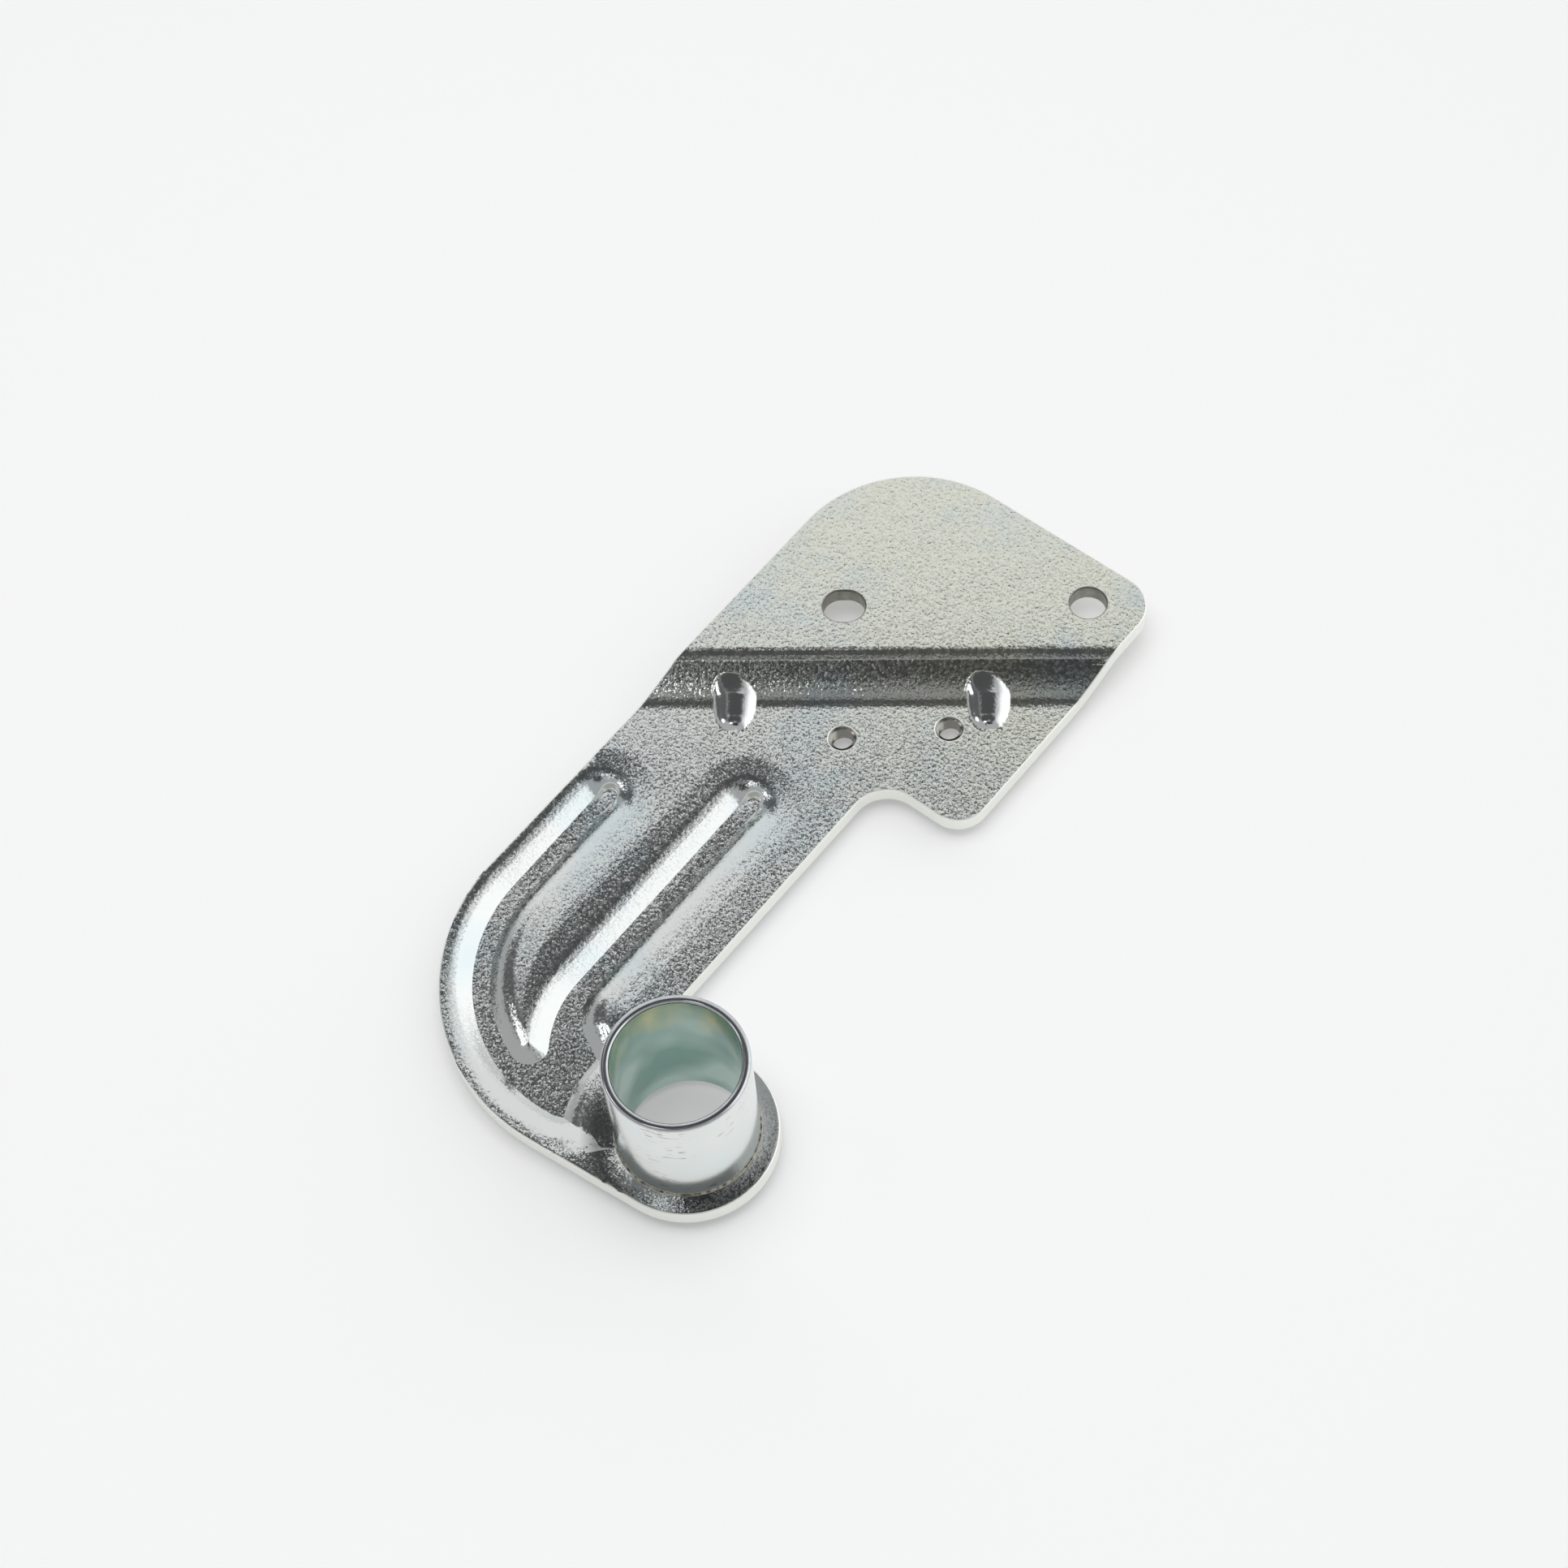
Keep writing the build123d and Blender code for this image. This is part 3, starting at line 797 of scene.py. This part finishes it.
class BRACKET_OT_stage(bpy.types.Operator):
    """Lay the white table, set the studio light and place the camera"""

    bl_idname = "bracket.stage"
    bl_label = "Table, light and camera"

    def execute(self, context):
        scene = context.scene
        scene.view_settings.view_transform = "Standard"
        bm = bmesh.new()
        bmesh.ops.create_grid(bm, x_segments=1, y_segments=1, size=3.0)
        bmesh.ops.translate(bm, verts=bm.verts, vec=(0, 0, PLATE_LOW[2] - 0.02 * MM))
        mesh = bpy.data.meshes.new("table")
        bm.to_mesh(mesh)
        bm.free()
        mesh.materials.append(table_paper())
        table = bpy.data.objects.new("table", mesh)
        scene.collection.objects.link(table)

        sky(scene)
        lamp = bpy.data.lights.new("overhead_softbox", "AREA")
        lamp.shape = "DISK"
        lamp.size = 0.9
        lamp.energy = scene.bracket.lamp_power
        softbox = bpy.data.objects.new("overhead_softbox", lamp)
        softbox.location = (-0.05, 0.05, 1.1)
        softbox.visible_glossy = False
        softbox.visible_camera = False
        scene.collection.objects.link(softbox)

        lens = bpy.data.cameras.new("camera")
        lens.lens = 76.398
        lens.sensor_width = 36
        lens.clip_start = 0.01
        lens.clip_end = 20
        eye = bpy.data.objects.new("camera", lens)
        eye.location = (0.16464, -0.13980, 0.45573)
        eye.rotation_euler = [math.radians(a) for a in (30.9814, 3.2371, 38.9941)]
        scene.collection.objects.link(eye)
        scene.camera = eye
        return {"FINISHED"}


# ---- settings and panel ------------------------------------------------------------


class BracketSettings(bpy.types.PropertyGroup):
    sheet_colour: bpy.props.StringProperty(
        name="Sheet colour", description="Zinc on the plate, as sRGB hex", default="E2E5E4")
    tube_colour: bpy.props.StringProperty(
        name="Tube colour", description="Zinc on the tube, as sRGB hex", default="DDE8E9")
    bore_colour: bpy.props.StringProperty(
        name="Bore colour", description="Zinc inside the tube, as sRGB hex", default="C3DAD3")
    grain: bpy.props.FloatProperty(
        name="Grain", description="Depth of the sheet's orange-peel grain", default=1.0,
        min=0, max=2, subtype="FACTOR")
    tube_wall: bpy.props.FloatProperty(
        name="Tube wall", description="Thickness of the tube's wall in millimetres",
        default=1.35, min=0.5, max=3)
    tube_roughness: bpy.props.FloatProperty(
        name="Tube roughness", description="How dull the tube's plating is", default=0.17,
        min=0, max=1, subtype="FACTOR")
    rollover: bpy.props.FloatProperty(
        name="Rollover", description="Rounding of the blanked edges in millimetres",
        default=0.25, min=0.05, max=0.8)
    lamp_power: bpy.props.FloatProperty(
        name="Lamp power", description="Power of the overhead softbox", default=6.2, min=0,
        unit="POWER")


class BRACKET_PT_panel(bpy.types.Panel):
    bl_idname = "BRACKET_PT_panel"
    bl_label = "Bracket"
    bl_space_type = "VIEW_3D"
    bl_region_type = "UI"
    bl_category = "Bracket"

    def draw(self, context):
        for name in BracketSettings.__annotations__:
            self.layout.prop(context.scene.bracket, name)
        for step in STEPS:
            self.layout.operator(step.bl_idname)


STEPS = (BRACKET_OT_plate, BRACKET_OT_threads, BRACKET_OT_tube, BRACKET_OT_seam,
         BRACKET_OT_stage)
CLASSES = (BracketSettings, *STEPS, BRACKET_PT_panel)


def register():
    for cls in CLASSES:
        bpy.utils.register_class(cls)
    bpy.types.Scene.bracket = bpy.props.PointerProperty(type=BracketSettings)


def unregister():
    del bpy.types.Scene.bracket
    for cls in reversed(CLASSES):
        bpy.utils.unregister_class(cls)


def main():
    register()
    bpy.ops.bracket.plate()
    bpy.ops.bracket.threads()
    bpy.ops.bracket.tube()
    bpy.ops.bracket.seam()
    bpy.ops.bracket.stage()


if __name__ == "__main__":
    main()
